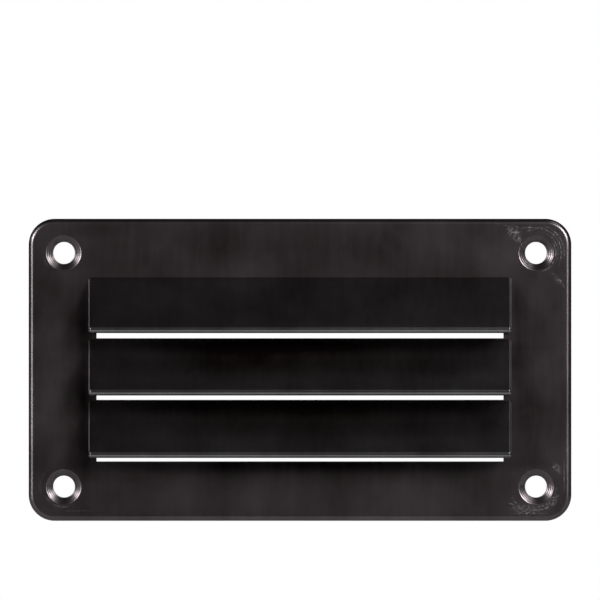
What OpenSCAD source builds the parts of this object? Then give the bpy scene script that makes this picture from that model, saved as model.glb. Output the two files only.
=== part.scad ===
// Louvred air vent: a plate with rounded corners, four countersunk fixing
// holes and a stack of hooded louvres, all moulded in one piece.
// Sizes are in millimetres. The vent stands upright as on a wall: +X is to
// the right, +Z is up and the front faces -Y. The origin is the centre of
// the flat back, on the axis of the pattern of fixing holes.

/* [Plate] */
// Width of the plate
plate_w = 150; // [110:1:220]
// Height of the plate
plate_h = 83.5; // [62:0.5:140]
// Thickness of the plate
plate_t = 3; // [2.5:0.1:5]
// Radius of the plate's corners, seen from the front
corner_r = 7.2; // [3:0.1:12]
// Radius of the rounding along the plate's front edge
edge_r = 1.5; // [0.5:0.1:2.2]

/* [Fixing holes] */
// Distance from the plate's side edge to the centre of a hole
hole_inset_x = 9.75; // [7:0.05:11]
// Distance from the plate's top or bottom edge to the centre of a hole
hole_inset_y = 9.45; // [7:0.05:14]
// Diameter of the holes
hole_d = 6.1; // [4.6:0.1:7]
// Diameter of the countersinks at the front of the plate
sink_d = 9.9; // [7.4:0.1:11]
// Full angle of the countersinks, in degrees
sink_angle = 120; // [80:1:130]

/* [Louvres] */
// Number of louvres, one above the other
louvre_count = 3; // [1:1:5]
// Width of the plain border at each side of the louvres
side_border = 16.65; // [15.5:0.05:30]
// Height of the plain border above the first louvre
top_border = 16.2; // [8:0.1:22]
// Height of the plain border below the last window
bottom_border = 16.4; // [8:0.1:22]
// How far the louvres stand out from the front of the plate
louvre_rise = 12; // [4:0.1:16]
// Thickness of the louvres' walls
louvre_wall = 2.2; // [1.5:0.1:2.6]
// Draft of the louvres' ends, in degrees
end_draft = 3.5; // [1:0.5:10]
// Height of the slit under a lip, seen from the front
slit_h = 1.55; // [0.8:0.05:4]
// Height of the flat land along a lip
lip_land = 0.8; // [0.4:0.05:2.5]
// Radius of the rounding along a louvre's edges
louvre_r = 0.7; // [0.3:0.05:1]
// Height of the bar that is left between two windows at the back
bar_h = 2; // [1:0.1:4]
// Height of the flat ledge between a window and the root of the next louvre
ledge_h = 0.2; // [0.1:0.05:1]

/* [Hidden] */
$fn = 96;

// Cutters run this far past what they cut
clear = 1;

// The louvres and the ledges between them share the height inside the borders
louvre_pitch = (plate_h - top_border - bottom_border + ledge_h) / louvre_count;
louvre_w = plate_w - 2 * side_border;
// Down from its root, a louvre has its window, and over it a sloping face, a
// land and a rounded lip
window_end = louvre_pitch - ledge_h;
lip_h = window_end - slit_h;
face_h = lip_h - lip_land - louvre_r;
face_slope = atan(louvre_rise / face_h);
sink_depth = (sink_d - hole_d) / 2 / tan(sink_angle / 2);

// The modules below are drawn as seen from the front: X right, Y up and Z out
// of the wall. stand_up() turns them into the frame of the vent.
module stand_up() rotate([90, 0, 0]) children();

// Stands a section up with its X upwards and its Y outwards, and runs it
// across the plate
module run_across(width) {
    rotate([90, 0, 90])
        linear_extrude(width, center = true)
            children();
}

// Section of the plate's rim, from the inside at X = 0 to the edge
module rim_section() {
    square([corner_r - edge_r, plate_t]);
    square([corner_r, plate_t - edge_r]);
    translate([corner_r - edge_r, plate_t - edge_r])
        intersection() {
            circle(edge_r);
            square(edge_r);
        }
}

// One straight side of the rim, with its outer edge towards +X
module rim_side(length) {
    rotate([90, 0, 0])
        linear_extrude(length, center = true)
            rim_section();
}

module plate() {
    core_w = plate_w - 2 * corner_r;
    core_h = plate_h - 2 * corner_r;
    translate([-core_w / 2, -core_h / 2, 0])
        cube([core_w, core_h, plate_t]);
    for (turn = [0, 180]) {
        rotate(turn)
            translate([core_w / 2, 0, 0])
                rim_side(core_h);
        rotate(turn + 90)
            translate([core_h / 2, 0, 0])
                rim_side(core_w);
    }
    for (side_x = [0, 1], side_y = [0, 1])
        mirror([side_x, 0, 0])
            mirror([0, side_y, 0])
                translate([core_w / 2, core_h / 2, 0])
                    rotate_extrude(angle = 90)
                        rim_section();
}

// Distance down from a louvre's root at which a bead touches the sloping face
// from inside, with its centre at height z over the front of the plate
function behind_face(z) = (z * cos(face_slope) + louvre_r) / sin(face_slope);

// Distance from the middle at which such a bead touches the louvre's end
function inside_end(z) = louvre_w / 2 - z * tan(end_draft) - louvre_r / cos(end_draft);

// Outside of one louvre, with its root line along X at the front of the plate.
// Beads in its corners round all its edges. They touch the sloping face or the
// underside, and the drafted ends. The hindmost ones are sunk in the plate.
module louvre_body() {
    sunk = -plate_t / 2;
    top = louvre_rise - louvre_r;
    under = lip_h - louvre_r;
    hull()
        for (bead = [[behind_face(sunk), sunk], [behind_face(top), top], [under, top], [under, sunk]])
            for (side = [-1, 1])
                translate([side * inside_end(bead[1]), -bead[0], bead[1]])
                    sphere(louvre_r, $fn = 24);
}

// Height of a louvre's inner face over the front of the plate, at a distance
// down from its root
function inner_z(down) = down * tan(face_slope) - louvre_wall / cos(face_slope);

// The way of the air through the plate and up into one louvre, open below the
// lip. Its ends have the draft of the louvre's ends.
module air_way() {
    behind = plate_t + clear;
    front_w = louvre_w - 2 * louvre_wall;
    intersection() {
        run_across(plate_w)
            polygon([
                [-bar_h, -behind],
                [-bar_h, inner_z(bar_h)],
                [-window_end, inner_z(window_end)],
                [-window_end, -behind]
            ]);
        rotate([90, 0, 0])
            linear_extrude(louvre_pitch + clear)
                polygon([
                    for (corner = [[-1, -behind], [1, -behind], [1, louvre_rise], [-1, louvre_rise]])
                        [corner[0] * (front_w / 2 - corner[1] * tan(end_draft)), corner[1]]
                ]);
    }
}

// Hole with a countersink, standing on the back of the plate
module fixing_hole() {
    mouth_r = sink_d / 2 + clear * tan(sink_angle / 2);
    rotate_extrude()
        polygon([
            [0, -clear],
            [hole_d / 2, -clear],
            [hole_d / 2, plate_t - sink_depth],
            [mouth_r, plate_t + clear],
            [0, plate_t + clear]
        ]);
}

// Places a shape at the root of each louvre, at the front of the plate
module at_louvres() {
    for (i = [0 : louvre_count - 1])
        translate([0, plate_h / 2 - top_border - i * louvre_pitch, plate_t])
            children();
}

module at_fixing_holes() {
    for (side_x = [-1, 1], side_y = [-1, 1])
        translate([side_x * (plate_w / 2 - hole_inset_x), side_y * (plate_h / 2 - hole_inset_y), 0])
            children();
}

module louvred_vent() {
    color("#1a1a1b")
        stand_up()
            difference() {
                union() {
                    plate();
                    at_louvres() louvre_body();
                }
                at_louvres() air_way();
                at_fixing_holes() fixing_hole();
            }
}

louvred_vent();
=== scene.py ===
"""Louvred air vent, moulded in one piece of black ABS.

The moulding is modelled again with fine roundings, in the place and to the
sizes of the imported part, and gets the finish of a worn satin moulding. Around
it stand a plain studio and the camera. Lengths in the vent's classes are in
millimetres, and its mesh is turned to metres at the end. Lengths in the
studio's and the camera's classes are in metres. The vent stands upright: +X is
to the right, +Z is up and the front faces -Y.
"""

import logging
import math
from dataclasses import dataclass, field
from enum import Enum
from functools import cached_property
from typing import Any

import bmesh
import bpy
from mathutils import Euler, Matrix, Vector


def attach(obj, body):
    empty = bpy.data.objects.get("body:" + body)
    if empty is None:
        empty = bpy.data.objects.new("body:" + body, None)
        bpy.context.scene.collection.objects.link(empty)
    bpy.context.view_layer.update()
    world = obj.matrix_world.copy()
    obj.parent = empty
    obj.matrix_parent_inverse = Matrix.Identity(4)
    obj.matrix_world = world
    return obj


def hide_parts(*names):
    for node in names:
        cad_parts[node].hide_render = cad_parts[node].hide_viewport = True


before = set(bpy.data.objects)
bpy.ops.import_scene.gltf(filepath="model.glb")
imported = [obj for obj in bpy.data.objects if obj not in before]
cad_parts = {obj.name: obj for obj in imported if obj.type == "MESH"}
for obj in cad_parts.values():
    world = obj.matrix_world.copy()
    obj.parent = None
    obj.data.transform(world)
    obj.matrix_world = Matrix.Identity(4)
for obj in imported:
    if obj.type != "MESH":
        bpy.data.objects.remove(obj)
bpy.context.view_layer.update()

LOG = logging.getLogger("louvred_vent")

MM = 0.001
# Points closer than this, in millimetres, are one point of a mesh
SAME_POINT = 1e-4
# Directions closer than this, in radians, are one direction
SAME_DIRECTION = 1e-6
# Weight at which a point's normal follows the largest face round it alone
LARGEST_FACE_ALONE = 100
# Keeps X and Z of a point and drops its depth
FLATTEN = (1, 0, 1)
WHITE = "#ffffff"

# Type names of the nodes that come up often, and sockets of a Mix node for colours
MATH, VECTOR_MATH, MAP_RANGE = "ShaderNodeMath", "ShaderNodeVectorMath", "ShaderNodeMapRange"
MIX, SPLIT, COORDINATES = "ShaderNodeMix", "ShaderNodeSeparateXYZ", "ShaderNodeTexCoord"
MIX_SHARE, MIX_FIRST, MIX_SECOND, MIX_RESULT = 0, 6, 7, 2

Socket = bpy.types.NodeSocket


class Side(Enum):
    """Left and right, as signs of X."""

    LEFT = -1
    RIGHT = 1


class End(Enum):
    """Bottom and top, as signs of Z."""

    BOTTOM = -1
    TOP = 1


def linear(hex_colour: str) -> tuple[float, float, float, float]:
    """Turns an sRGB hex colour into linear values, by the curve of the sRGB standard.

    Args:
        hex_colour: Six hex digits after a hash sign.

    Returns:
        Linear red, green and blue, and an alpha of 1.
    """
    values = [int(hex_colour[i : i + 2], 16) / 255 for i in (1, 3, 5)]
    red, green, blue = (v / 12.92 if v <= 0.04045 else ((v + 0.055) / 1.055) ** 2.4 for v in values)
    return (red, green, blue, 1.0)


def mesh_object(name: str, vertices: list[Vector], faces: list[tuple[int, ...]]) -> bpy.types.Object:
    """Makes a closed mesh object, with doubled points merged and its faces turned outwards.

    Args:
        name: Name of the object.
        vertices: Points of the mesh.
        faces: Point numbers of each face.

    Returns:
        The object, in the scene.
    """
    shape = bmesh.new()
    points = [shape.verts.new(v) for v in vertices]
    for face in faces:
        shape.faces.new([points[i] for i in face])
    bmesh.ops.remove_doubles(shape, verts=shape.verts, dist=SAME_POINT)
    bmesh.ops.recalc_face_normals(shape, faces=shape.faces)
    mesh = bpy.data.meshes.new(name)
    shape.to_mesh(mesh)
    shape.free()
    item = bpy.data.objects.new(name, mesh)
    bpy.context.scene.collection.objects.link(item)
    return item


def ringed_body(name: str, rings: list[list[Vector]]) -> bpy.types.Object:
    """Makes a closed body from rings of points that lie one after the other.

    Args:
        name: Name of the object.
        rings: The points of each ring, in order. All rings have the same number.

    Returns:
        The body, with a face across its first ring and its last.
    """
    count = len(rings[0])
    last = (len(rings) - 1) * count
    faces = [tuple(range(count)), tuple(range(last, last + count))]
    for start in range(0, last, count):
        for i in range(count):
            a, b = start + i, start + (i + 1) % count
            faces.append((a, b, b + count, a + count))
    return mesh_object(name, [point for ring in rings for point in ring], faces)


def bake(item: bpy.types.Object) -> None:
    """Replaces an object's mesh by what its modifiers make of it.

    Args:
        item: The object, which keeps its name and loses its modifiers.
    """
    old = item.data
    graph = bpy.context.evaluated_depsgraph_get()
    item.data = bpy.data.meshes.new_from_object(item.evaluated_get(graph))
    item.modifiers.clear()
    item.data.name = item.name
    bpy.data.meshes.remove(old)


def combine(base: bpy.types.Object, other: bpy.types.Object, operation: str) -> None:
    """Joins another closed mesh to a base mesh or cuts it out, and removes the other.

    Args:
        base: The object whose mesh changes.
        other: The object that is joined or cut out.
        operation: UNION or DIFFERENCE.
    """
    step = base.modifiers.new(operation, "BOOLEAN")
    step.object = other
    step.operation = operation
    step.solver = "EXACT"
    bake(base)
    old = other.data
    bpy.data.objects.remove(other)
    bpy.data.meshes.remove(old)


def arc_direction(a: Vector, b: Vector, share: float) -> Vector:
    """Finds a direction on the arc between two others.

    Args:
        a: The unit direction at the arc's start.
        b: The unit direction at its end.
        share: How far along the arc, from 0 to 1.

    Returns:
        The unit direction there.
    """
    angle = a.angle(b)
    if angle < SAME_DIRECTION:
        return a.copy()
    return (a * math.sin((1 - share) * angle) + b * math.sin(share * angle)) / math.sin(angle)


@dataclass(frozen=True)
class RoundedBlock:
    """A convex block with all its edges and corners rounded.

    The centres are those of the roundings at its corners. A face lists the
    numbers of its corners, in order round it, and three faces meet at each
    corner. Steps is the number of facets across a rounding.
    """

    centres: list[Vector]
    faces: list[tuple[int, ...]]
    radius: float
    steps: int

    @cached_property
    def normals(self) -> list[Vector]:
        """Finds the outward direction of each face.

        Returns:
            The directions, in the order of the faces.
        """
        middle = sum(self.centres, Vector()) / len(self.centres)
        normals = []
        for face in self.faces:
            a, b, c = (self.centres[i] for i in face[:3])
            normal = (b - a).cross(c - a).normalized()
            normals.append(normal if normal.dot(a - middle) > 0 else -normal)
        return normals

    def edge_strips(self) -> list[list[Vector]]:
        """Makes the narrow faces of the rounding along each edge.

        Returns:
            The points of each strip.
        """
        strips = []
        for i, face in enumerate(self.faces):
            for j in range(i + 1, len(self.faces)):
                shared = [corner for corner in face if corner in self.faces[j]]
                if len(shared) != 2:
                    continue
                start, end = (self.centres[corner] for corner in shared)
                arc = [
                    self.radius * arc_direction(self.normals[i], self.normals[j], step / self.steps)
                    for step in range(self.steps + 1)
                ]
                for one, two in zip(arc, arc[1:]):
                    strips.append([start + one, end + one, end + two, start + two])
        return strips

    def corner_caps(self) -> list[list[Vector]]:
        """Makes the triangles of the rounding at each corner.

        Returns:
            The points of each triangle.
        """
        caps = []
        for corner, centre in enumerate(self.centres):
            a, b, c = (self.normals[i] for i, face in enumerate(self.faces) if corner in face)
            rows = []
            for i in range(self.steps + 1):
                left = arc_direction(a, b, i / self.steps)
                right = arc_direction(a, c, i / self.steps)
                shares = [j / max(i, 1) for j in range(i + 1)]
                rows.append([centre + self.radius * arc_direction(left, right, s) for s in shares])
            for upper, lower in zip(rows, rows[1:]):
                for j in range(len(upper)):
                    caps.append([upper[j], lower[j], lower[j + 1]])
                    if j < len(upper) - 1:
                        caps.append([upper[j], lower[j + 1], upper[j + 1]])
        return caps

    def build(self, name: str) -> bpy.types.Object:
        """Makes the block.

        Args:
            name: Name of the object.

        Returns:
            The block as an object.
        """
        flats = [
            [self.centres[i] + self.radius * normal for i in face]
            for face, normal in zip(self.faces, self.normals)
        ]
        vertices: list[Vector] = []
        faces: list[tuple[int, ...]] = []
        for points in flats + self.edge_strips() + self.corner_caps():
            faces.append(tuple(range(len(vertices), len(vertices) + len(points))))
            vertices.extend(points)
        return mesh_object(name, vertices, faces)


@dataclass(frozen=True)
class Plate:
    """The flat plate with its rounded corners and front edge."""

    width: float = 150.0
    height: float = 83.5
    thickness: float = 3.0
    corner_r: float = 7.2
    edge_r: float = 1.5
    back_r: float = 0.2
    corner_steps: int = 28
    edge_steps: int = 14
    back_steps: int = 3

    def ring(self, inset: float, y: float) -> list[Vector]:
        """Draws the plate's outline, moved inwards.

        Args:
            inset: Distance from the real outline.
            y: Where the ring lies, from front to back.

        Returns:
            The ring's points, in order.
        """
        points = []
        reach = self.corner_r - inset
        for turn in range(4):
            side_x = 1 if turn in (0, 3) else -1
            side_z = 1 if turn in (0, 1) else -1
            x = side_x * (self.width / 2 - self.corner_r)
            z = side_z * (self.height / 2 - self.corner_r)
            for step in range(self.corner_steps + 1):
                angle = math.radians(90) * (turn + step / self.corner_steps)
                points.append(Vector((x + reach * math.cos(angle), y, z + reach * math.sin(angle))))
        return points

    def profile(self) -> list[tuple[float, float]]:
        """Draws the section of the plate's edge.

        Returns:
            Inset and Y of each ring, from the back to the front.
        """
        rings = []
        for step in range(self.back_steps + 1):
            angle = math.radians(90) * step / self.back_steps
            rings.append((self.back_r * (1 - math.sin(angle)), -self.back_r * (1 - math.cos(angle))))
        for step in range(self.edge_steps + 1):
            angle = math.radians(90) * step / self.edge_steps
            y = -(self.thickness - self.edge_r) - self.edge_r * math.sin(angle)
            rings.append((self.edge_r * (1 - math.cos(angle)), y))
        return rings

    def build(self) -> bpy.types.Object:
        """Makes the plate as a closed mesh."""
        return ringed_body("plate", [self.ring(inset, y) for inset, y in self.profile()])


@dataclass(frozen=True)
class FixingHoles:
    """Four countersunk holes near the plate's corners.

    The countersinks run out into the plate in a rounded mouth, which starts at
    a slope of rim_start degrees.
    """

    inset_x: float = 9.75
    inset_z: float = 9.45
    bore_d: float = 6.1
    sink_d: float = 9.9
    sink_angle: float = 120.0
    rim_r: float = 0.8
    rim_start: float = 8.0
    rim_steps: int = 5
    facets: int = 144
    past: float = 1.0

    def centre(self, plate: Plate, side: Side, end: End) -> Vector:
        """Where a hole's axis meets the back of the plate."""
        x = side.value * (plate.width / 2 - self.inset_x)
        return Vector((x, 0.0, end.value * (plate.height / 2 - self.inset_z)))

    def profile(self, plate: Plate) -> list[tuple[float, float]]:
        """Draws the outline of the solid that cuts a hole.

        Args:
            plate: The plate that is cut.

        Returns:
            Radius and Y of its points, from behind the plate to before it: a
            bore, a cone and the cone's rounded mouth.
        """
        start, slope = math.radians(self.rim_start), math.radians(90 - self.sink_angle / 2)
        mouth = []
        for step in range(self.rim_steps + 1):
            angle = start + (slope - start) * step / self.rim_steps
            radius = self.sink_d / 2 - self.rim_r * (math.sin(angle) - math.sin(start))
            mouth.append((radius, self.rim_r * (math.cos(start) - math.cos(angle))))
        radius, depth = mouth[-1]
        depth += (radius - self.bore_d / 2) * math.tan(slope)
        outside = (self.sink_d / 2 + self.past, -self.past * math.tan(start))
        outline = [(self.bore_d / 2, plate.thickness + self.past), (self.bore_d / 2, depth)]
        outline += mouth[::-1] + [outside]
        return [(radius, depth - plate.thickness) for radius, depth in outline]

    def cutter(self, plate: Plate, side: Side, end: End) -> bpy.types.Object:
        """Makes the solid that cuts one hole.

        Args:
            plate: The plate that is cut.
            side: The hole's side.
            end: Whether it is at the top or the bottom.

        Returns:
            The cutter, in its place.
        """
        centre = self.centre(plate, side, end)
        turns = [2 * math.pi * i / self.facets for i in range(self.facets)]
        rings = [
            [centre + Vector((radius * math.cos(turn), y, radius * math.sin(turn))) for turn in turns]
            for radius, y in self.profile(plate)
        ]
        return ringed_body("hole", rings)


@dataclass(frozen=True)
class Louvres:
    """The stack of hooded louvres with their ways for the air."""

    count: int = 3
    side_border: float = 16.65
    top_border: float = 16.2
    bottom_border: float = 16.4
    rise: float = 12.0
    wall: float = 2.2
    end_draft: float = 3.5
    slit: float = 1.55
    land: float = 0.8
    edge_r: float = 0.7
    bar: float = 2.0
    ledge: float = 0.2
    past: float = 1.0
    round_steps: int = 8

    def pitch(self, plate: Plate) -> float:
        """Distance from one louvre's root to the next."""
        return (plate.height - self.top_border - self.bottom_border + self.ledge) / self.count

    def lip(self, plate: Plate) -> float:
        """Distance down from a louvre's root to its underside."""
        return self.pitch(plate) - self.ledge - self.slit

    def slope(self, plate: Plate) -> float:
        """Angle of the sloping face to the plate."""
        return math.atan(self.rise / (self.lip(plate) - self.land - self.edge_r))

    def half_width(self, plate: Plate, out: float) -> float:
        """Half of a louvre's width, at a distance out from the plate's front."""
        return plate.width / 2 - self.side_border - out * math.tan(math.radians(self.end_draft))

    def place(self, plate: Plate, index: int, x: float, down: float, out: float) -> Vector:
        """A point given from the middle of a louvre's root, in the vent's frame."""
        root = plate.height / 2 - self.top_border - index * self.pitch(plate)
        return Vector((x, -plate.thickness - out, root - down))

    def corners(
        self, plate: Plate, index: int, section: list[tuple[float, float]], inset: float
    ) -> list[Vector]:
        """Stands a section at both ends of a louvre.

        Args:
            plate: The plate that the louvre grows out of.
            index: Its number from the top, from 0.
            section: How far down from the root and out from the plate each corner is.
            inset: Distance from the louvre's ends.

        Returns:
            The corners on the left, and then those on the right.
        """
        return [
            self.place(plate, index, side.value * (self.half_width(plate, out) - inset), down, out)
            for side in Side
            for down, out in section
        ]

    @staticmethod
    def box_faces() -> list[tuple[int, ...]]:
        """Faces of a box whose left section has corners 0 to 3 and whose right one has 4 to 7."""
        sides = [(i, (i + 1) % 4, (i + 1) % 4 + 4, i + 4) for i in range(4)]
        return [(0, 1, 2, 3), (4, 5, 6, 7)] + sides

    def block(self, plate: Plate, index: int) -> bpy.types.Object:
        """Makes the outside of one louvre.

        Args:
            plate: The plate that it grows out of.
            index: Its number from the top, from 0.

        Returns:
            The louvre as a solid block that reaches into the plate.
        """
        slope = self.slope(plate)
        sunk, top = -plate.thickness / 2, self.rise - self.edge_r
        under = self.lip(plate) - self.edge_r

        def behind_face(out: float) -> float:
            """How far down the rounding's centre lies behind the sloping face."""
            return (out * math.cos(slope) + self.edge_r) / math.sin(slope)

        section = [(behind_face(sunk), sunk), (behind_face(top), top), (under, top), (under, sunk)]
        inset = self.edge_r / math.cos(math.radians(self.end_draft))
        centres = self.corners(plate, index, section, inset)
        return RoundedBlock(centres, self.box_faces(), self.edge_r, self.round_steps).build("louvre")

    def air_way(self, plate: Plate, index: int) -> bpy.types.Object:
        """Makes the solid that cuts the way of the air through one louvre.

        Args:
            plate: The plate that is cut.
            index: The louvre's number from the top, from 0.

        Returns:
            The cutter, in its place.
        """
        slope = self.slope(plate)

        def inner(down: float) -> float:
            """Distance out to the louvre's inner face."""
            return down * math.tan(slope) - self.wall / math.cos(slope)

        end = self.pitch(plate) - self.ledge
        behind = -plate.thickness - self.past
        section = [(self.bar, behind), (self.bar, inner(self.bar)), (end, inner(end)), (end, behind)]
        corners = self.corners(plate, index, section, self.wall)
        return mesh_object("air_way", corners, self.box_faces())


@dataclass(frozen=True)
class RubbedRing:
    """Part of a faint ring that is rubbed into the plate round a fixing hole.

    The angles are in degrees, anticlockwise from +X as seen from the front.
    """

    side: Side
    end: End
    radius: float
    width: float
    middle: float
    sweep: float
    strength: float


@dataclass(frozen=True)
class Oval:
    """A soft oval on the front of the vent, given by its centre and its full size."""

    x: float
    z: float
    length: float
    width: float


@dataclass(frozen=True)
class Scuff(Oval):
    """A streak or patch of fine scratches on the front of the plate.

    It lies along a line at the angle in degrees, anticlockwise from +X.
    """

    angle: float
    strength: float


@dataclass(frozen=True)
class PaintedShadeAndSheenPatch(Oval):
    """A large soft patch of painted shade with less sheen, or of painted sheen with more where the
    change is above 0.
    """

    change: float


TOP_RIGHT = (Side.RIGHT, End.TOP)
BOTTOM_RIGHT = (Side.RIGHT, End.BOTTOM)
TOP_LEFT = (Side.LEFT, End.TOP)
BOTTOM_LEFT = (Side.LEFT, End.BOTTOM)

RINGS = (
    RubbedRing(*TOP_RIGHT, 5.35, 0.32, -20.0, 130.0, 0.9),
    RubbedRing(*TOP_RIGHT, 6.0, 0.25, 20.0, 120.0, 0.6),
    RubbedRing(*TOP_RIGHT, 6.9, 0.35, 35.0, 150.0, 0.9),
    RubbedRing(*TOP_RIGHT, 7.7, 0.28, 30.0, 100.0, 0.7),
    RubbedRing(*BOTTOM_RIGHT, 5.5, 0.3, -50.0, 120.0, 0.8),
    RubbedRing(*BOTTOM_RIGHT, 6.4, 0.35, -70.0, 110.0, 0.8),
    RubbedRing(*BOTTOM_RIGHT, 7.2, 0.3, -125.0, 80.0, 0.8),
    RubbedRing(*TOP_LEFT, 5.6, 0.3, 200.0, 70.0, 0.5),
    RubbedRing(*BOTTOM_LEFT, 5.5, 0.3, 250.0, 110.0, 0.5),
    RubbedRing(*BOTTOM_LEFT, 6.5, 0.3, 170.0, 80.0, 0.3),
)

SCUFFS = (
    # Round the hole at the top right
    Scuff(59.2, 37.6, 6.4, 4.4, -50.0, 0.75),
    Scuff(56.4, 39.9, 6.5, 0.4, -14.0, 0.5),
    Scuff(58.0, 38.4, 5.6, 0.35, -52.0, 0.8),
    Scuff(60.6, 35.8, 4.6, 0.4, -66.0, 1.0),
    Scuff(59.8, 39.6, 4.4, 0.35, -30.0, 0.8),
    Scuff(62.8, 39.3, 4.8, 0.5, 4.0, 0.8),
    Scuff(63.6, 38.6, 3.6, 0.4, 14.0, 0.6),
    # Below it, near the plate's right edge
    Scuff(70.4, 26.2, 3.6, 0.4, -32.0, 0.8),
    Scuff(72.4, 23.9, 4.0, 0.5, -62.0, 0.9),
    Scuff(71.2, 24.8, 3.6, 2.0, -48.0, 0.5),
    # Beside the hole at the bottom right, near the same edge
    Scuff(70.6, -27.4, 3.8, 0.7, -42.0, 1.0),
    Scuff(71.0, -27.2, 4.6, 2.6, -60.0, 0.5),
    Scuff(72.9, -29.0, 13.0, 0.4, 90.0, 0.7),
    # Below that hole
    Scuff(59.6, -37.8, 4.6, 0.4, 16.0, 1.0),
    Scuff(58.4, -37.0, 3.0, 0.4, -12.0, 0.8),
    Scuff(61.2, -38.6, 4.0, 0.35, 30.0, 0.8),
    Scuff(63.0, -39.6, 11.5, 0.5, 0.0, 1.0),
    Scuff(62.4, -38.3, 10.0, 3.2, -4.0, 0.5),
    Scuff(69.6, -36.4, 6.6, 3.0, 40.0, 0.5),
    # Below the hole at the bottom left
    Scuff(-61.0, -38.9, 10.0, 0.4, 0.0, 0.5),
)

# Painted shade and sheen: each patch lowers the sheen where the louvres shade the plate or the louvre
# tops below them, or makes the plate's borders lighter or darker.
PAINTED_SHADE_AND_SHEEN = (
    # Plate above the louvres, with weaker painted sheen
    PaintedShadeAndSheenPatch(-4.0, 35.0, 96.0, 20.0, -0.26),
    PaintedShadeAndSheenPatch(-22.0, 33.0, 26.0, 15.0, -0.12),
    PaintedShadeAndSheenPatch(20.0, 34.0, 28.0, 14.0, -0.14),
    PaintedShadeAndSheenPatch(-56.6, 39.6, 30.0, 9.0, -0.3),
    # Plate along its other edges, mostly with stronger painted sheen
    PaintedShadeAndSheenPatch(0.0, -38.5, 190.0, 22.0, 0.32),
    PaintedShadeAndSheenPatch(-40.0, -37.0, 60.0, 14.0, 0.12),
    PaintedShadeAndSheenPatch(-70.5, -9.0, 24.0, 66.0, 0.22),
    PaintedShadeAndSheenPatch(70.0, -22.0, 20.0, 30.0, -0.06),
    PaintedShadeAndSheenPatch(-63.0, 27.0, 18.0, 13.0, 0.35),
    PaintedShadeAndSheenPatch(-66.0, -24.5, 11.0, 13.0, 0.4),
    # Painted shade on the plate beside the louvres
    PaintedShadeAndSheenPatch(-59.5, -4.0, 6.4, 80.0, -0.45),
    PaintedShadeAndSheenPatch(-60.5, 12.5, 13.0, 20.0, -0.45),
    PaintedShadeAndSheenPatch(-61.0, -7.0, 13.0, 20.0, -0.35),
    PaintedShadeAndSheenPatch(-60.5, -21.0, 13.0, 20.0, -0.35),
    PaintedShadeAndSheenPatch(59.8, 10.0, 9.0, 46.0, -0.3),
    PaintedShadeAndSheenPatch(62.0, 1.0, 14.0, 88.0, -0.4),
    # Painted shade on the plate below the last louvre
    PaintedShadeAndSheenPatch(0.0, -25.9, 170.0, 7.6, -0.8),
    PaintedShadeAndSheenPatch(0.0, -29.5, 150.0, 13.0, -0.16),
    # Painted shade on the tops of the second louvre and of the third, below the louvre above
    PaintedShadeAndSheenPatch(0.0, 6.8, 150.0, 7.6, -0.9),
    PaintedShadeAndSheenPatch(0.0, 2.6, 150.0, 14.0, -0.8),
    PaintedShadeAndSheenPatch(0.0, -10.4, 150.0, 7.8, -0.8),
    PaintedShadeAndSheenPatch(0.0, -14.0, 150.0, 13.0, -0.46),
)


@dataclass(frozen=True)
class Shading:
    """The look of a material or of the world, drawn with nodes by a subclass."""

    owner: bpy.types.Material | bpy.types.World

    @cached_property
    def tree(self) -> bpy.types.NodeTree:
        """Empties the owner's tree of nodes.

        Returns:
            The tree.
        """
        self.owner.use_nodes = True
        self.owner.node_tree.nodes.clear()
        return self.owner.node_tree

    def add(
        self, kind: str, inputs: dict[Any, Any] | None = None, **settings: Any
    ) -> bpy.types.NodeOutputs:
        """Adds a node with its settings, constants and links.

        Args:
            kind: The node's type name.
            inputs: For an input's name or number, a constant or the socket that feeds it.
            **settings: Properties of the node.

        Returns:
            The outputs of the new node.
        """
        node = self.tree.nodes.new(kind)
        for name, value in settings.items():
            setattr(node, name, value)
        for key, value in (inputs or {}).items():
            if isinstance(value, Socket):
                self.tree.links.new(value, node.inputs[key])
            else:
                node.inputs[key].default_value = value
        return node.outputs

    def ray_kinds(self) -> tuple[Socket, Socket]:
        """Tells apart the rays that meet the owner.

        Returns:
            Two values: 1 for rays from the camera, and 1 for mirrored or refracted ones.
        """
        rays = self.add("ShaderNodeLightPath")
        kinds = {0: rays["Is Glossy Ray"], 1: rays["Is Transmission Ray"]}
        return rays["Is Camera Ray"], self.add(MATH, kinds, operation="ADD", use_clamp=True)[0]


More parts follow.
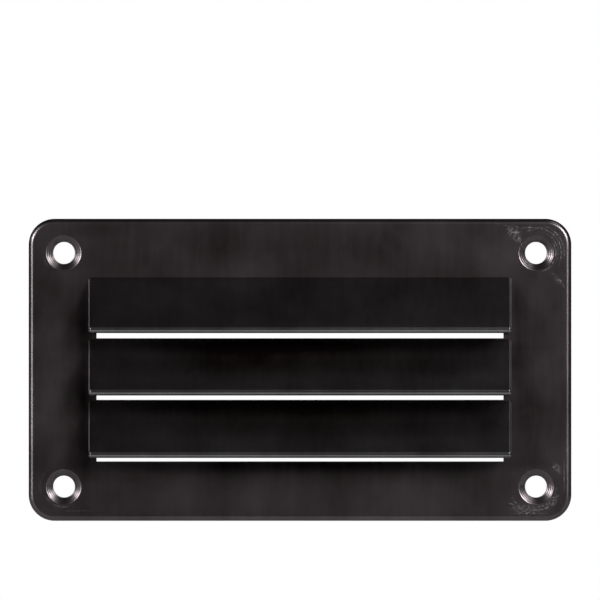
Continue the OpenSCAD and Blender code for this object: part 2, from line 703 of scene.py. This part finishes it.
@dataclass(frozen=True)
class MouldedAbs(Shading):
    """Black ABS, injection moulded with a satin gloss.

    It looks nearly black, and what the eye sees is the soft sheen of the lamps
    on it. The sheen is cloudy, as the melt has copied the tool unevenly. Large
    patches paint shade into the sheen beside and below the louvres and on the
    tops of the lower two, and paint it lighter or darker over the plate's
    borders. The lips' lower edges carry a painted grey highlight. The
    countersinks show fine turned grooves, and round the holes the plate is
    rubbed grey in rings and scratches. Sizes and heights are in millimetres,
    and a stretch says how many times closer a pattern is along each axis.
    """

    plate: Plate
    holes: FixingHoles
    louvres: Louvres
    # The pigment, and its shade in the clouds
    colour: str = "#070404"
    cloud_colour: str = "#0b0707"
    # ABS has a typical IOR of 1.54. This one is matched to the photo's stronger
    # sheen, which is a little warm on the plate.
    gloss_ior: float = 2.1
    sheen_colour: str = "#fff0f4"
    sheen: float = 0.5
    # Typical for a satin moulding
    roughness: float = 0.30
    # Clouds as large as in the photo
    cloud_mm: float = 18.0
    cloud_detail: float = 3.0
    cloud_sheen: float = 0.5
    cloud_change: float = 0.02
    # Flecks between the clouds
    fleck_mm: float = 4.0
    fleck_detail: float = 2.0
    fleck_sheen: float = 0.1
    # Upright streaks, 1.5 mm wide and 10 mm long
    streak_mm: float = 6.0
    streak_detail: float = 3.0
    streak_stretch: tuple[float, float, float] = (4.0, 1.0, 0.6)
    streak_sheen: float = 0.16
    # Waves of a moulded skin, under a thousandth of a millimetre high
    peel_mm: float = 2.2
    peel_detail: float = 1.0
    peel_height: float = 0.0006
    # A turned countersink has grooves about 0.1 mm apart. They are too fine to
    # show, so they are drawn 0.5 mm apart. They fade just inside its mouth.
    groove_mm: float = 0.5
    groove_height: float = 0.01
    groove_margin: tuple[float, float] = (0.3, 0.1)
    # Rubbing turns the skin grey and dull, down to these depths in the plate
    rubbed_colour: str = "#655e61"
    rubbed_change: float = 0.2
    rubbed_depths: tuple[float, float] = (0.1, 0.5)
    # Shares of a ring's half sweep and of a scuff's reach that have full strength
    ring_full: float = 0.4
    scuff_full: float = 0.3
    # Real scratches are some hundredths of a millimetre wide. They are too fine
    # to show, so they are drawn 0.4 mm wide and 1.4 mm long.
    scratch_mm: float = 0.7
    scratch_detail: float = 2.0
    scratch_stretch: tuple[float, float, float] = (0.5, 1.0, 1.6)
    scratch_share: float = 0.3
    # Curled lines between them, drawn coarse for the same reason. They run where
    # a soft pattern crosses its middle, and fade at these distances from it.
    tangle_mm: float = 1.4
    tangle_detail: float = 0.0
    tangle_middle: float = 0.5
    tangle_fade: tuple[float, float] = (0.03, 0.17)
    tangle_share: float = 0.75
    # The lips' fronts are a little duller, down to these shares of their rounding
    land_change: float = 0.012
    land_shares: tuple[float, float] = (0.7, 1.1)
    # Their lower edges carry a painted grey highlight and are rougher, in a line at a share of the
    # rounding's height
    lip_highlight_colour: str = "#474445"
    lip_change: float = 0.16
    lip_highlight_mm: float = 0.26
    lip_highlight_full: float = 0.4
    lip_highlight_place: float = 0.9
    # Faces that look to the back are matt. This fades between these Y of a normal.
    inside_change: float = 0.3
    inside_normals: tuple[float, float] = (0.5, 0.2)
    # Distances before the plate between which its warm sheen turns neutral
    warm_depths: tuple[float, float] = (0.3, 1.3)
    # Nearly all values of a noise pattern lie between these
    noise_range: tuple[float, float] = (0.3, 0.7)

    def build(self) -> None:
        """Draws the finish."""
        looks = {
            "Base Color": self.colouring(),
            "Roughness": self.gloss(),
            "Specular IOR Level": self.patchy_and_painted_sheen(),
            "IOR": self.gloss_ior,
            "Specular Tint": self.sheen_tint(),
            "Normal": self.relief(),
        }
        surface = self.add("ShaderNodeBsdfPrincipled", looks)["BSDF"]
        self.add("ShaderNodeOutputMaterial", {"Surface": surface})

    @cached_property
    def place(self) -> Socket:
        """Where a point of the surface is, in millimetres."""
        scale = {0: self.add(COORDINATES)["Object"], 1: (1 / MM,) * 3}
        return self.add(VECTOR_MATH, scale, operation="MULTIPLY")[0]

    @cached_property
    def axes(self) -> bpy.types.NodeOutputs:
        """X, Y and Z of that place."""
        return self.add(SPLIT, {0: self.place})

    @cached_property
    def hole_fields(self) -> dict[tuple[Side, End], tuple[Socket, Socket]]:
        """Measures how a point lies to each hole.

        Returns:
            Its distance from the hole's axis in millimetres, and its angle round
            the axis in radians, anticlockwise from +X.
        """
        fields = {}
        for side in Side:
            for end in End:
                centre = self.holes.centre(self.plate, side, end)
                offset = self.add(VECTOR_MATH, {0: self.place, 1: centre}, operation="SUBTRACT")[0]
                flat = self.add(VECTOR_MATH, {0: offset, 1: FLATTEN}, operation="MULTIPLY")[0]
                distance = self.add(VECTOR_MATH, {0: flat}, operation="LENGTH")["Value"]
                axes = self.add(SPLIT, {0: flat})
                angle = self.add(MATH, {0: axes["Z"], 1: axes["X"]}, operation="ARCTAN2")[0]
                fields[side, end] = (distance, angle)
        return fields

    @cached_property
    def clouds(self) -> Socket:
        """The cloudy pattern."""
        return self.noise(self.cloud_mm, self.cloud_detail)

    def noise(
        self, size: float, detail: float, stretch: tuple[float, float, float] = (1.0, 1.0, 1.0)
    ) -> Socket:
        """Draws a soft random pattern.

        Args:
            size: Size of the pattern's largest blots, in millimetres.
            detail: How many finer layers lie over them.
            stretch: How many times closer the pattern is along each axis.

        Returns:
            The pattern from 0 to 1, with an even spread of dark and light.
        """
        scale = {0: self.place, 1: [s / size for s in stretch]}
        closer = self.add(VECTOR_MATH, scale, operation="MULTIPLY")[0]
        soft = self.add("ShaderNodeTexNoise", {"Vector": closer, "Scale": 1.0, "Detail": detail})
        low, high = self.noise_range
        spread = {"Value": soft["Fac"], "From Min": low, "From Max": high}
        return self.add(MAP_RANGE, spread)["Result"]

    def fade(self, value: Socket, full: float, none: float, height: float = 1.0) -> Socket:
        """Falls smoothly from a height to nothing, as a value goes from full to none.

        Args:
            value: What the fade goes by.
            full: The value up to which the fade keeps its height.
            none: The value from which it is 0.
            height: What it falls from.

        Returns:
            The faded height.
        """
        return self.add(
            MAP_RANGE,
            {"Value": value, "From Min": full, "From Max": none, "To Min": height, "To Max": 0.0},
            interpolation_type="SMOOTHSTEP",
        )["Result"]

    def apart(self, value: Socket, middle: float) -> Socket:
        """How far a value is from a middle, on either side."""
        above = self.add(MATH, {0: value, 1: middle}, operation="SUBTRACT")[0]
        return self.add(MATH, {0: above}, operation="ABSOLUTE")[0]

    def spot(self, oval: Oval, full: float, height: float = 1.0, angle: float = 0.0) -> Socket:
        """Draws a soft oval.

        Args:
            oval: Its centre and size.
            full: Share of its reach up to which it keeps its height.
            height: Its height.
            angle: Direction of its length in degrees, anticlockwise from +X.

        Returns:
            The height at each point, 0 outside the oval.
        """
        scaled = self.add(
            "ShaderNodeMapping",
            {
                "Vector": self.place,
                "Location": (oval.x, 0.0, oval.z),
                "Rotation": (0.0, -math.radians(angle), 0.0),
                "Scale": (oval.length / 2, 1.0, oval.width / 2),
            },
            vector_type="TEXTURE",
        )[0]
        flat = self.add(VECTOR_MATH, {0: scaled, 1: FLATTEN}, operation="MULTIPLY")[0]
        reach = self.add(VECTOR_MATH, {0: flat}, operation="LENGTH")["Value"]
        return self.fade(reach, full, 1.0, height)

    def ring_mark(self, ring: RubbedRing) -> Socket:
        """Draws a part of a ring round a hole.

        Args:
            ring: The ring.

        Returns:
            The ring's strength at each point, 0 outside it.
        """
        distance, angle = self.hole_fields[ring.side, ring.end]
        line = self.fade(self.apart(distance, ring.radius), 0.0, ring.width, ring.strength)
        middle, half = math.radians(ring.middle), math.radians(ring.sweep / 2)
        turn = self.add(MATH, {0: angle, 1: middle}, operation="SUBTRACT")[0]
        turn = self.add(MATH, {0: turn, 1: math.pi, 2: -math.pi}, operation="WRAP")[0]
        turn = self.add(MATH, {0: turn}, operation="ABSOLUTE")[0]
        part = self.fade(turn, half * self.ring_full, half)
        return self.add(MATH, {0: line, 1: part}, operation="MULTIPLY")[0]

    def scratches(self) -> Socket:
        """Draws what the rubbed places are broken up by.

        Returns:
            Short scratches and a tangle of curled lines, from 0 to about 1.
        """
        short = self.noise(self.scratch_mm, self.scratch_detail, self.scratch_stretch)
        tangle = self.noise(self.tangle_mm, self.tangle_detail)
        off = self.apart(tangle, self.tangle_middle)
        lines = self.fade(off, *self.tangle_fade, self.tangle_share)
        return self.add_changes(lines, [(short, self.scratch_share)])

    @cached_property
    def marks(self) -> Socket:
        """Draws all rings and scuffs.

        Returns:
            How much the surface is rubbed, from 0 to about 1.
        """
        parts = [self.ring_mark(ring) for ring in RINGS]
        parts += [self.spot(s, self.scuff_full, s.strength, s.angle) for s in SCUFFS]
        total = parts[0]
        for part in parts[1:]:
            total = self.add(MATH, {0: total, 1: part}, operation="MAXIMUM")[0]
        full, none = (-self.plate.thickness + depth for depth in self.rubbed_depths)
        for share in (self.scratches(), self.fade(self.axes["Y"], full, none)):
            total = self.add(MATH, {0: total, 1: share}, operation="MULTIPLY")[0]
        return total

    @cached_property
    def lips(self) -> tuple[Socket, Socket]:
        """Finds the louvres' lips.

        Returns:
            Two masks: the whole front of the lips, and only their lower edges, which carry a painted
                grey highlight.
        """
        louvres, plate = self.louvres, self.plate
        front = -plate.thickness - louvres.rise
        full, none = (front + louvres.edge_r * share for share in self.land_shares)
        land = self.fade(self.axes["Y"], full, none)
        underside = louvres.place(plate, 0, 0.0, louvres.lip(plate), 0.0).z
        above = self.add(MATH, {0: self.axes["Z"], 1: underside}, operation="SUBTRACT")[0]
        above = self.add(MATH, {0: above, 1: louvres.pitch(plate), 2: 0.0}, operation="WRAP")[0]
        off = self.apart(above, louvres.edge_r * self.lip_highlight_place)
        low = self.fade(off, self.lip_highlight_mm * self.lip_highlight_full, self.lip_highlight_mm)
        return land, self.add(MATH, {0: low, 1: land}, operation="MULTIPLY")[0]

    def inside(self) -> Socket:
        """Mask of the faces that look to the back, which the tool leaves matt."""
        back = self.add(SPLIT, {0: self.add(COORDINATES)["Normal"]})["Y"]
        return self.fade(back, *self.inside_normals)

    def blend(self, share: Socket, first: Any, second: str) -> Socket:
        """Goes from a linear colour, or a socket's, to an sRGB hex colour by a share."""
        shades = {MIX_SHARE: share, MIX_FIRST: first, MIX_SECOND: linear(second)}
        return self.add(MIX, shades, data_type="RGBA")[MIX_RESULT]

    def sheen_tint(self) -> Socket:
        """Colour of the sheen: a little warm on the plate and neutral on the louvres."""
        full, none = (-self.plate.thickness - depth for depth in self.warm_depths)
        return self.blend(self.fade(self.axes["Y"], full, none), linear(WHITE), self.sheen_colour)

    def colouring(self) -> Socket:
        """Colours the plastic: near black, slightly uneven, grey where it is rubbed, and with a
        painted grey highlight on the lips' lower edges.

        Returns:
            The colour.
        """
        body = self.blend(self.clouds, linear(self.colour), self.cloud_colour)
        worn = self.blend(self.marks, body, self.rubbed_colour)
        # Painted highlight: a grey line along the lips' lower edges.
        return self.blend(self.lips[1], worn, self.lip_highlight_colour)

    def gloss(self) -> Socket:
        """Sets the roughness: satin and cloudy, and duller where it is rubbed or faces the back.

        Returns:
            The roughness.
        """
        smooth = self.roughness - self.cloud_change / 2
        dull = self.roughness + self.cloud_change / 2
        cloudy = {"Value": self.clouds, "To Min": smooth, "To Max": dull}
        changes = [
            (self.marks, self.rubbed_change),
            (self.lips[0], self.land_change),
            (self.lips[1], self.lip_change),
            (self.inside(), self.inside_change),
        ]
        return self.add_changes(self.add(MAP_RANGE, cloudy)["Result"], changes)

    def add_changes(self, value: Socket, changes: list[tuple[Socket, float]]) -> Socket:
        """Adds patterns to a value, each with its own strength.

        Args:
            value: What the patterns are added to.
            changes: Each pattern and how much it adds where it is 1.

        Returns:
            The sum.
        """
        for pattern, change in changes:
            value = self.add(MATH, {0: pattern, 1: change, 2: value}, operation="MULTIPLY_ADD")[0]
        return value

    def patchy_and_painted_sheen(self) -> Socket:
        """Sets how strong the sheen is, with clouds, flecks, upright streaks and large patches of
        painted shade and sheen.

        Returns:
            The level of the specular reflection.
        """
        spread = (self.cloud_sheen + self.fleck_sheen + self.streak_sheen) / 2
        least = self.sheen * (1 - spread)
        most = self.sheen * (1 - spread + self.cloud_sheen)
        cloudy = {"Value": self.clouds, "To Min": least, "To Max": most}
        flecks = self.noise(self.fleck_mm, self.fleck_detail)
        streaks = self.noise(self.streak_mm, self.streak_detail, self.streak_stretch)
        changes = [(flecks, self.fleck_sheen * self.sheen), (streaks, self.streak_sheen * self.sheen)]
        # The patches are painted shade and sheen: darker where the louvres shade, and lighter or
        # darker over the plate's borders.
        changes += [(self.spot(patch, 0.0), patch.change * self.sheen) for patch in PAINTED_SHADE_AND_SHEEN]
        return self.add_changes(self.add(MAP_RANGE, cloudy)["Result"], changes)

    def relief(self) -> Socket:
        """Raises the skin's faint waves and the turned grooves in the countersinks.

        Returns:
            The normal.
        """
        nearest, *others = (distance for distance, _ in self.hole_fields.values())
        for other in others:
            nearest = self.add(MATH, {0: nearest, 1: other}, operation="MINIMUM")[0]
        full, none = (self.holes.sink_d / 2 - margin for margin in self.groove_margin)
        inside = self.fade(nearest, full, none, self.groove_height)
        scale = {0: nearest, 1: 2 * math.pi / self.groove_mm}
        turns = self.add(MATH, scale, operation="MULTIPLY")[0]
        wave = self.add(MATH, {0: turns}, operation="SINE")[0]
        grooves = self.add(MATH, {0: wave, 1: inside}, operation="MULTIPLY")[0]
        skin = self.noise(self.peel_mm, self.peel_detail)
        height = self.add_changes(grooves, [(skin, self.peel_height)])
        return self.add("ShaderNodeBump", {"Height": height, "Distance": MM})["Normal"]


@dataclass(frozen=True)
class PalePaper(Shading):
    """Pale uncoated paper, rolled out as a ground for photographs.

    Its matt face gives the eye an even pale ground that mirrors nothing and
    takes the vent's shadow. The camera sees it raised towards white, and what
    mirrors it sees it raised a little.
    """

    colour: str = "#b4b4b4"
    seen: float = 0.76
    mirrored: float = 0.05

    def build(self) -> None:
        """Draws the finish."""
        camera, mirrored = self.ray_kinds()
        raised = self.add(MATH, {0: camera, 1: self.seen}, operation="MULTIPLY")[0]
        more = {0: mirrored, 1: self.mirrored, 2: raised}
        raised = self.add(MATH, more, operation="MULTIPLY_ADD")[0]
        paper = self.add("ShaderNodeBsdfDiffuse", {"Color": linear(self.colour)})[0]
        glow = self.add("ShaderNodeEmission", {"Color": linear(WHITE), "Strength": raised})[0]
        both = self.add("ShaderNodeAddShader", {0: paper, 1: glow})[0]
        self.add("ShaderNodeOutputMaterial", {"Surface": both})


@dataclass(frozen=True)
class Surroundings(Shading):
    """White backdrop, and a low plain level of light from all round.

    The camera sees white everywhere. Mirrored rays see it only near the line
    straight back, because the dark tops of the lower louvres mirror nothing
    white from the sides. The angle is in degrees and fades by the soft share.
    """

    level: float = 0.01
    backdrop_angle: float = 12.0
    backdrop_soft: float = 0.1

    def build(self) -> None:
        """Draws the surroundings."""
        camera, mirrored = self.ray_kinds()
        direction = self.add(SPLIT, {0: self.add(COORDINATES)["Generated"]})["Y"]
        outer, inner = (
            math.cos(math.radians(self.backdrop_angle * share))
            for share in (1 + self.backdrop_soft, 1 - self.backdrop_soft)
        )
        edge = {"Value": direction, "From Min": outer, "From Max": inner}
        behind = self.add(MAP_RANGE, edge, interpolation_type="SMOOTHSTEP")["Result"]
        back = self.add(MATH, {0: mirrored, 1: behind}, operation="MULTIPLY")[0]
        white = self.add(MATH, {0: camera, 1: back}, operation="ADD", use_clamp=True)[0]
        light = {"Value": white, "To Min": self.level, "To Max": 1.0}
        strength = self.add(MAP_RANGE, light)["Result"]
        sky = self.add("ShaderNodeBackground", {"Color": linear(WHITE), "Strength": strength})[0]
        self.add("ShaderNodeOutputWorld", {"Surface": sky})


@dataclass(frozen=True)
class VentMoulding:
    """The whole moulding: plate, louvres and fixing holes in one piece.

    Edges that turn by more than burr_angle degrees are rounded. Then an edge
    looks sharp where it turns by more than crease_angle in a hollow, or by more
    than smooth_angle on the outside.
    """

    plate: Plate = field(default_factory=Plate)
    holes: FixingHoles = field(default_factory=FixingHoles)
    louvres: Louvres = field(default_factory=Louvres)
    burr_r: float = 0.08
    burr_steps: int = 3
    burr_angle: float = 35.0
    crease_angle: float = 20.0
    smooth_angle: float = 50.0
    flat_angle: float = 0.05
    weld: float = 0.005

    def build(self) -> bpy.types.Object:
        """Makes the moulding, dresses it and hands it to the frame.

        Returns:
            The moulding as one object.
        """
        body = self.plate.build()
        for index in range(self.louvres.count):
            combine(body, self.louvres.block(self.plate, index), "UNION")
        for index in range(self.louvres.count):
            combine(body, self.louvres.air_way(self.plate, index), "DIFFERENCE")
        for side in Side:
            for end in End:
                combine(body, self.holes.cutter(self.plate, side, end), "DIFFERENCE")
        self.soften(body)
        self.shade(body)
        body.name = body.data.name = "vent_moulding"
        material = bpy.data.materials.new("moulded_black_abs")
        MouldedAbs(material, self.plate, self.holes, self.louvres).build()
        body.data.materials.clear()
        body.data.materials.append(material)
        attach(body, "root")
        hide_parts("louvred_vent")
        return body

    def soften(self, body: bpy.types.Object) -> None:
        """Rounds the edges that a mould leaves sharp, and turns millimetres into metres.

        Args:
            body: The moulding.
        """
        shape = bmesh.new()
        shape.from_mesh(body.data)
        bmesh.ops.remove_doubles(shape, verts=shape.verts, dist=self.weld)
        flat = math.radians(self.flat_angle)
        bmesh.ops.dissolve_limit(shape, angle_limit=flat, verts=shape.verts, edges=shape.edges)
        burr = math.radians(self.burr_angle)
        sharp = [e for e in shape.edges if e.is_convex and e.calc_face_angle(0.0) > burr]
        LOG.info("%d sharp edges are rounded", len(sharp))
        bmesh.ops.bevel(
            shape,
            geom=sharp,
            offset=self.burr_r,
            offset_type="OFFSET",
            segments=self.burr_steps,
            profile=0.5,
            affect="EDGES",
            clamp_overlap=False,
        )
        for face in shape.faces:
            face.smooth = True
        for edge in shape.edges:
            limit = self.smooth_angle if edge.is_convex else self.crease_angle
            edge.smooth = edge.calc_face_angle(0.0) < math.radians(limit)
        bmesh.ops.transform(shape, matrix=Matrix.Scale(MM, 4), verts=shape.verts)
        shape.to_mesh(body.data)
        shape.free()

    @staticmethod
    def shade(body: bpy.types.Object) -> None:
        """Keeps the flat faces flat beside the smooth roundings.

        Args:
            body: The moulding.
        """
        step = body.modifiers.new("flat faces", "WEIGHTED_NORMAL")
        step.keep_sharp = True
        step.weight = LARGEST_FACE_ALONE
        bake(body)


@dataclass(frozen=True)
class SoftLamp:
    """A rectangular soft lamp that points at the vent.

    Azimuth and elevation are in degrees, from straight before the vent.
    """

    name: str
    azimuth: float
    elevation: float
    radiance: float
    height: float = 0.34
    width: float = 0.34
    distance: float = 1.5

    def build(self) -> None:
        """Hangs the lamp."""
        lamp = bpy.data.lights.new(self.name, "AREA")
        lamp.shape = "RECTANGLE"
        lamp.size, lamp.size_y = self.width, self.height
        lamp.energy = self.radiance * math.pi * self.width * self.height
        item = bpy.data.objects.new(self.name, lamp)
        side, up = math.radians(self.azimuth), math.radians(self.elevation)
        item.location = self.distance * Vector(
            (math.cos(up) * math.sin(side), -math.cos(up) * math.cos(side), math.sin(up))
        )
        item.rotation_euler = item.location.to_track_quat("Z", "Y").to_euler()
        item.visible_camera = False
        bpy.context.scene.collection.objects.link(item)


@dataclass(frozen=True)
class Studio:
    """Pale floor, white surroundings and soft lamps on both sides."""

    floor_drop: float = 0.16
    floor_front: float = 0.36
    floor_back: float = 1.1
    floor_width: float = 2.4
    lamps: tuple[SoftLamp, ...] = (
        SoftLamp("right key", 40.9, 20.7, 28.8),
        SoftLamp("right key top", 37.5, 27.0, 8.9),
        SoftLamp("right fill", 33.1, 17.5, 7.7, height=0.65),
        SoftLamp("right front", 30.0, 0.0, 1.3),
        SoftLamp("right far", 61.8, 56.8, 3.5),
        SoftLamp("left key", -48.2, 15.2, 23.1),
        SoftLamp("left fill", -43.2, 14.5, 9.4),
        SoftLamp("left low", -45.0, 0.0, 6.2),
        SoftLamp("left far", -70.9, 19.0, 3.1),
    )

    def build(self) -> None:
        """Sets up everything round the vent."""
        self.build_floor()
        world = bpy.data.worlds.new("studio")
        Surroundings(world).build()
        bpy.context.scene.world = world
        for lamp in self.lamps:
            lamp.build()

    def build_floor(self) -> None:
        """Lays the floor below the vent."""
        left, right = -self.floor_width / 2, self.floor_width / 2
        front, back = -self.floor_front, self.floor_back
        outline = ((left, front), (right, front), (right, back), (left, back))
        mesh = bpy.data.meshes.new("floor")
        mesh.from_pydata([(x, y, -self.floor_drop) for x, y in outline], [], [(0, 1, 2, 3)])
        material = bpy.data.materials.new("pale_paper")
        PalePaper(material).build()
        mesh.materials.append(material)
        floor = bpy.data.objects.new("floor", mesh)
        bpy.context.scene.collection.objects.link(floor)


@dataclass(frozen=True)
class PhotoCamera:
    """The camera of the photograph, level and square to the plate."""

    distance: float = 0.976
    height: float = 0.0193
    # Focal length and width of the sensor, in millimetres
    lens: float = 211.5
    sensor: float = 36.0
    nearest: float = 0.01
    farthest: float = 20.0

    def build(self) -> None:
        """Stands the camera in front of the vent and makes it the scene's."""
        camera = bpy.data.cameras.new("camera")
        camera.lens = self.lens
        camera.sensor_width = self.sensor
        camera.clip_start, camera.clip_end = self.nearest, self.farthest
        item = bpy.data.objects.new("camera", camera)
        item.location = (0.0, -self.distance, self.height)
        item.rotation_euler = Euler((math.radians(90), 0.0, 0.0))
        bpy.context.scene.collection.objects.link(item)
        bpy.context.scene.camera = item


def main() -> None:
    """Builds the scene piece by piece."""
    logging.basicConfig(level=logging.INFO, format="%(name)s: %(message)s")
    bpy.context.scene.view_settings.view_transform = "Standard"
    PhotoCamera().build()
    studio = Studio()
    studio.build()
    LOG.info("studio: floor, surroundings and %d lamps", len(studio.lamps))
    body = VentMoulding().build()
    LOG.info("%s: %d faces", body.name, len(body.data.polygons))


if __name__ == "__main__":
    main()
